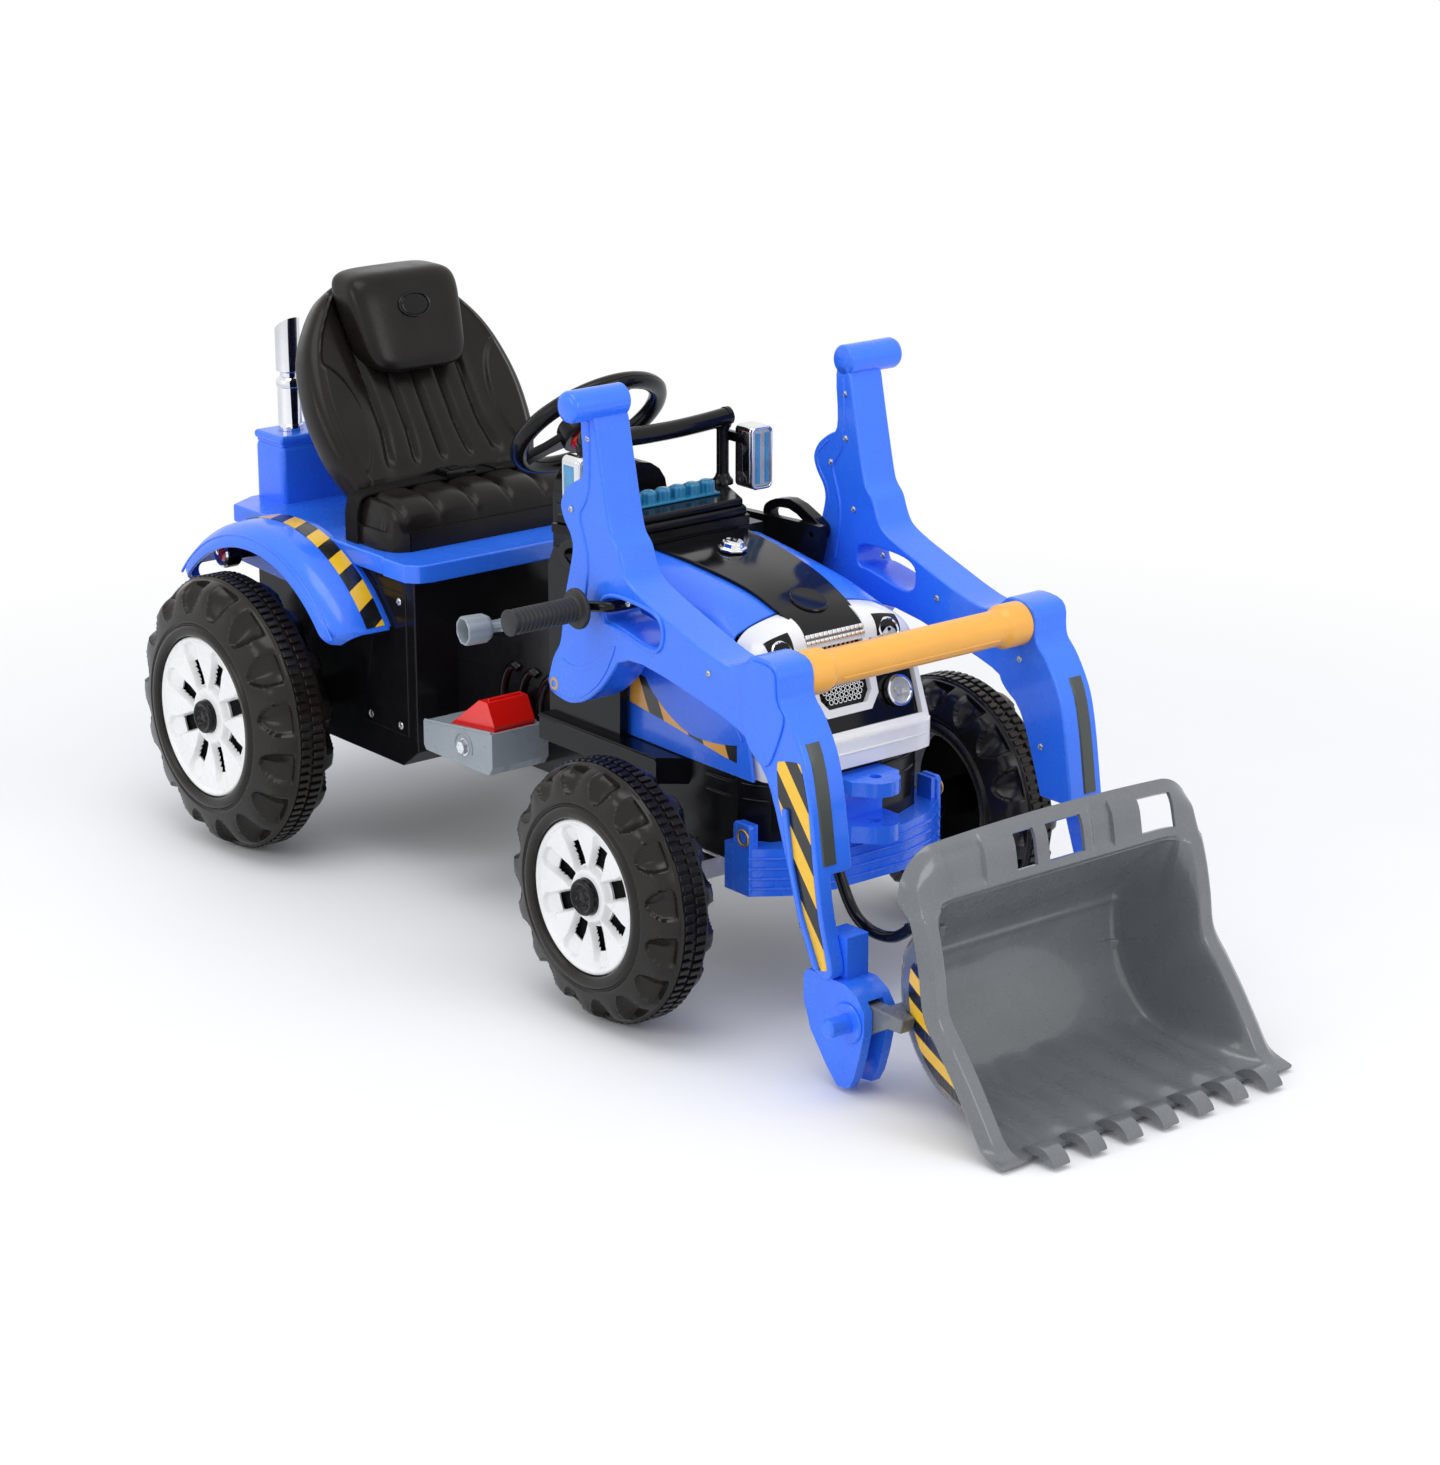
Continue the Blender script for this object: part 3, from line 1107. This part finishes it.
def make_hood():
    piece("hood", sheet([mirrored(row) for row in HOOD_ROWS], HOOD_SKIN), BLUE, 0.25)
    rows = [[(x, y, z + GAP * 1.3) for x, y, z in mirrored(row)] for row in STRIPE_ROWS]
    stripe = piece("hood_stripe", sheet(rows, HOOD_SKIN, offset=-1.0), BLACK, 0.2)
    cap = [(0.0, -0.002), (0.013, -0.002), (0.013, 0.004), (0.009, 0.008), (0.0, 0.009)]
    join(stripe, turned(cap, 16, Matrix.Translation((0.052, 0, 0.4075))))


def fascia_ring(z, rear, front, half):
    corner = 0.012
    side = [(rear, -half), (front - corner, -half), (front - corner * 0.3, -half + corner * 0.3),
            (front, -half + corner)]
    return [(x, y, z) for x, y in side + [(x, -y) for x, y in reversed(side)]]


def make_fascia():
    levels = ((CHASSIS_RIM_Z + GAP, 0.205, 0.2360, 0.1035), (NOSE_Z, 0.200, 0.2360, 0.1035),
              (0.310, 0.184, 0.2195, 0.1020), (0.338, 0.176, 0.2100, 0.0960), (0.352, 0.1735, 0.2050, 0.0880))
    fascia = piece("front_fascia", loft([fascia_ring(*level) for level in levels]), WHITE, 0.25)
    brow = [(0.1725, -0.084, 0.3522), (0.203, -0.084, 0.3522), (0.203, 0.084, 0.3522),
            (0.1725, 0.084, 0.3522)]
    ridge = [(0.1725, -0.062, 0.3650), (0.176, -0.062, 0.3650), (0.176, 0.062, 0.3650),
             (0.1725, 0.062, 0.3650)]
    low = [(x, y, z - 0.004) for x, y, z in brow]
    join(fascia, loft([low, brow, ridge]))
    lip = [(0.215, -0.0975), (LIP_X - 0.012, -0.0975), (LIP_X - 0.003, -0.088), (LIP_X, -0.070)]
    lip = lip + [(x, -y) for x, y in reversed(lip)]
    join(fascia, slab("z", lip, CHASSIS_RIM_Z + 0.003, NOSE_Z))
    cut(fascia, on_nose(slab("x", nose_window(0.0), -POCKET_DEPTH, 0.050)))
    cut(fascia, on_nose(merge(*[slab("x", lamp_window(side, 0.0), -0.016, 0.050) for _, side in SIDES])))
    frame = [(-0.042, 0.092), (-0.040, 0.034), (-0.028, 0.020), (0.028, 0.020), (0.040, 0.034),
             (0.042, 0.092),
             (0.034, 0.092), (0.032, 0.038), (0.024, 0.028), (-0.024, 0.028), (-0.032, 0.038),
             (-0.034, 0.092)]
    join(fascia, on_nose(slab("x", frame, PANEL_FACE + GAP, 0.001)))
    panel = slab("x", nose_window(GAP), -POCKET_DEPTH + GAP, PANEL_FACE)
    piece("grille_panel", on_nose(panel), BLACK, 0.2)
    for label, side in SIDES:
        lamp = rod((PANEL_FACE + GAP, side * HEADLAMP_Y, HEADLAMP_RISE),
                   (0.001, side * HEADLAMP_Y, HEADLAMP_RISE),
                   HEADLAMP_R, 20)
        piece("headlamp_" + label, on_nose(lamp), CHROME, 0.1, 1.0)


def make_skirt():
    outer = [(0.190, -SKIRT_HALF), (0.226, -SKIRT_HALF), (0.250, -0.088), (SKIRT_FRONT_X, -0.045)]
    inner = [(0.190, -0.1104), (0.1953, -0.1104), (0.2225, -0.0923), (0.2354, -0.0602), (0.2384, -0.030)]
    outer = outer + [(x, -y) for x, y in reversed(outer)]
    inner = inner + [(x, -y) for x, y in reversed(inner)]
    band = piece("front_skirt", slab("z", outer + list(reversed(inner)), SKIRT_LOW_Z, SKIRT_TOP_Z), BLUE, 0.3)
    for _, side in SIDES:
        join(band, box((0.205, 0.226), across(side, 0.1106, SKIRT_HALF - 0.0002),
                       (SKIRT_LOW_Z + 0.001, 0.192)))
    rear = CHASSIS_NOSE_X + GAP * 2
    side = [(rear, -CLEVIS_HALF + 0.004), (CLEVIS_HOLE_X, -CLEVIS_HALF + 0.004)]
    ear = side + arc((CLEVIS_HOLE_X, 0.0), 0.024, -70, 70, 6) + [(x, -y) for x, y in reversed(side)]
    hole = arc((CLEVIS_HOLE_X, 0.0), CLEVIS_HOLE_R, 0, 330, 11)
    join(band, slab("z", ear, SKIRT_TOP_Z - 0.002, SKIRT_TOP_Z + 0.0145, (hole,)))
    join(band, slab("z", ear, 0.214, 0.228, (hole,)))
    join(band, box((rear, rear + 0.008), (-CLEVIS_HALF + 0.006, CLEVIS_HALF - 0.006), (SKIRT_TOP_Z, 0.227)))


# Seat, headrest and belt

def flute(y, half, count, depth):
    """Height of a fluted surface at y, zero on a flute's crown."""
    place = (y / half + 1.0) / 2.0 * count
    return -depth * (math.cos(math.tau * place) + 1.0) / 2.0


def make_seat_base():
    """A cushion with a crown, drawn-in sides and flutes from front to back."""
    columns = FLUTES * 4
    shape = ((0.000, 0.60, 0.86), (0.004, 0.84, 0.94), (0.012, 0.97, 0.98), (0.030, 1.00, 1.00),
             (0.050, 0.98, 1.00),
             (0.068, 0.88, 0.97), (0.080, 0.68, 0.93), (0.087, 0.42, 0.88))
    low = DECK_TOP_Z + GAP
    rise = SEAT_TOP_Z - low
    rings = []
    for along, height, width in shape:
        half = SEAT_HALF * width
        top = []
        for i in range(columns + 1):
            y = half * 0.86 * (2.0 * i / columns - 1.0)
            dip = flute(y, half * 0.86, FLUTES, 0.0045 * height)
            top.append((y, low + rise * height + dip - 0.003 * abs(y / half)))
        top = [(-half, low + rise * height * 0.35), (-half * 0.97, low + rise * height * 0.75)] + top
        top += [(half * 0.97, low + rise * height * 0.75), (half, low + rise * height * 0.35)]
        ring = [(half * 0.96, low), (-half * 0.96, low)] + top
        rings.append([(SEAT_REAR_X + along, y, z) for y, z in ring])
    piece("seat_base", loft(rings), BLACK, 0.30)


def back_frame():
    """On the backrest's front face: +Z up along it, +X out of it."""
    place = Matrix.Translation((BACK_FOOT_X, 0, BACK_CREASE_Z))
    return place @ Matrix.Rotation(-BACK_LEAN, 4, "Y")


def make_seat_back():
    columns = FLUTES * 4
    frame = back_frame()
    shape = ((0.000, 0.118), (0.035, 0.130), (0.085, 0.134), (0.130, 0.128), (0.165, 0.116), (0.195, 0.096),
             (0.216, 0.076), (0.228, 0.056), (BACK_LENGTH, 0.040))
    low = DECK_TOP_Z + GAP
    rings = []
    for along, half in shape:
        front = []
        for i in range(columns + 1):
            across_y = 2.0 * i / columns - 1.0
            y = half * 0.80 * across_y
            front.append((flute(y, half * 0.80, FLUTES, 0.005) * min(1.0, (BACK_LENGTH - along) / 0.03), y))
        front = [(-0.010, -half), (0.004, -half * 0.92)] + front + [(0.004, half * 0.92), (-0.010, half)]
        ring = front + [(-BACK_THICK * 0.75, half * 0.94), (-BACK_THICK, half * 0.80),
                        (-BACK_THICK, -half * 0.80),
                        (-BACK_THICK * 0.75, -half * 0.94)]
        rings.append([tuple(frame @ Vector((x - 0.004, y, along))) for x, y in ring])
    base = []
    for x, y, z in rings[0]:
        base.append((min(x, BACK_FOOT_X) if z < BACK_CREASE_Z + 0.02 else x, y * 0.97, low))
    level = [(x, y, low + 0.030) for x, y, _ in base]
    item = piece("seat_back", loft([base, level] + rings), BLACK, 0.30)
    cut(item, headrest_shape(GAP))


def headrest_shape(grow=0.0):
    """A rounded block leaned with the backrest, at its top."""
    levels = ((HEADREST_LOW_Z, 0.86, 0.70), (HEADREST_LOW_Z + 0.012, 1.00, 0.95), (0.545, 1.00, 1.00),
              (0.585, 0.95, 1.00), (0.599, 0.91, 0.90), (HEADREST_TOP_Z, 0.84, 0.60))
    rings = []
    for z, width, depth in levels:
        half = HEADREST_HALF * width + grow
        middle = BACK_FOOT_X - (z - BACK_CREASE_Z) * math.tan(BACK_LEAN) * 0.55 - 0.030
        front = 0.029 * depth + grow
        rise = grow if z > 0.55 else -grow
        plan = [(front, half * 0.55), (front * 0.86, half * 0.84), (front * 0.40, half),
                (-front * 0.60, half),
                (-front, half * 0.86)]
        plan = plan + [(x, -y) for x, y in reversed(plan)]
        rings.append([(middle + x, y, z + rise) for x, y in plan])
    return loft(rings)


def make_belt():
    half = SEAT_HALF + 0.0005
    low = DECK_TOP_Z + GAP
    top = SEAT_TOP_Z + 0.0005
    outline = [(-half - BELT_THICK, low), (-half - BELT_THICK, top + BELT_THICK),
               (half + BELT_THICK, top + BELT_THICK),
               (half + BELT_THICK, low), (half, low), (half, top), (-half, top), (-half, low)]
    belt = piece("seat_belt", slab("x", outline, BELT_X, BELT_X + BELT_WIDTH), BLACK, 0.6)
    join(belt, box((BELT_X, BELT_X + BELT_WIDTH), (-0.022, 0.022), (top + 0.001, top + 0.010)))


# Foot boxes, pedal and gear lever

def make_foot_boxes():
    inner = TUNNEL_HALF + GAP
    outline = [(FOOT_REAR_X + 0.004, FOOT_FLOOR_Z), (FOOT_FRONT_X - 0.006, FOOT_FLOOR_Z),
               (FOOT_FRONT_X, 0.164),
               (FOOT_FRONT_X, FOOT_FRONT_Z), (FOOT_REAR_X, FOOT_REAR_Z), (FOOT_REAR_X, 0.160)]
    items = {}
    for (name, side) in (("pedal_box", -1), ("foot_rest", 1)):
        items[name] = piece(name, slab("y", outline, *across(side, inner, FOOT_OUT)), PALE_GREY, 0.35)
        join(items[name], rod((FOOT_BOLT_X, side * (FOOT_OUT - 0.001), FOOT_BOLT_Z),
                              (FOOT_BOLT_X, side * (FOOT_OUT + 0.005), FOOT_BOLT_Z), FOOT_BOLT_R, 6))
    item = items["pedal_box"]
    cut(item, box((PEDAL_X - 0.0070, PEDAL_X + 0.0745), (-PEDAL_OUT - 0.0008, -PEDAL_IN + 0.0008),
                  (0.172, 0.220)))
    cut(item, rod((PEDAL_X, -PEDAL_OUT - 0.006, PEDAL_Z), (PEDAL_X, -PEDAL_IN + 0.006, PEDAL_Z),
                  PEDAL_PIN_R + PIN_PLAY, 12))
    wedge = [(PEDAL_X - 0.0055, 0.1800), (PEDAL_X + 0.070, 0.1830), (PEDAL_X + 0.072, 0.2040),
             (PEDAL_X + 0.060, 0.2270), (PEDAL_X + 0.046, 0.2270),
             (PEDAL_X - 0.0055, 0.1900)]
    pedal = piece("pedal", slab("y", wedge, -PEDAL_OUT, -PEDAL_IN), RED, 0.35,
                  origin=(PEDAL_X, -PEDAL_OUT, PEDAL_Z))
    join(pedal, rod((PEDAL_X, -PEDAL_OUT - 0.005, PEDAL_Z), (PEDAL_X, -PEDAL_IN + 0.005, PEDAL_Z),
                    PEDAL_PIN_R, 12))


def make_gear_lever():
    pivot = (GEAR_X, -GEAR_Y, GEAR_Z)
    knob_end = (GEAR_KNOB_X, -GEAR_KNOB_Y, GEAR_Z)
    lever = piece("gear_lever", rod((GEAR_X, -GEAR_Y, GEAR_Z - 0.0077), (GEAR_X, -GEAR_Y, GEAR_Z + 0.0077),
                                    0.007, 12),
                  PALE_GREY, 0.4, origin=pivot)
    join(lever, rod((GEAR_X, -GEAR_Y, GEAR_Z - 0.011), (GEAR_X, -GEAR_Y, GEAR_Z + 0.011), GEAR_PIN_R, 12))
    join(lever, rod((GEAR_X - 0.0004, -GEAR_Y - 0.004, GEAR_Z), knob_end, GEAR_ROD_R, 12))
    along = (Vector(knob_end) - Vector(pivot)).normalized()
    cup = [(0.0, -0.012), (0.009, -0.012), (GEAR_KNOB_R, -0.004), (GEAR_KNOB_R, 0.018),
           (GEAR_KNOB_R - 0.003, 0.018),
           (GEAR_KNOB_R - 0.003, 0.004), (0.0, 0.004)]
    join(lever, turned(cup, 8, Matrix.Translation(knob_end) @ frame_of(along)))


for label, side in SIDES:
    make_wheel("front_" + label, side, FRONT_AXLE_X, FRONT_TYRE_R, FRONT_RIM_R, FRONT_TYRE_OUT,
               FRONT_TYRE_WIDTH)
    make_wheel("rear_" + label, side, REAR_AXLE_X, REAR_TYRE_R, REAR_RIM_R, REAR_TYRE_OUT, REAR_TYRE_WIDTH)
    make_knuckle(label, side)
    make_arm(label, side)
    make_hook(label, side)
    make_bracket(label, side)
make_front_axle()
make_tie_rod()
make_chassis()
make_mid_body()
make_dash()
make_hoop()
make_steering()
make_rear_body()
make_deck()
make_exhaust()
make_loader_hardware()
make_bucket()
make_tilt_rod()
make_hood()
make_fascia()
make_skirt()
make_seat_base()
make_seat_back()
piece("headrest", headrest_shape(), BLACK, 0.30)
make_belt()
make_foot_boxes()
make_gear_lever()
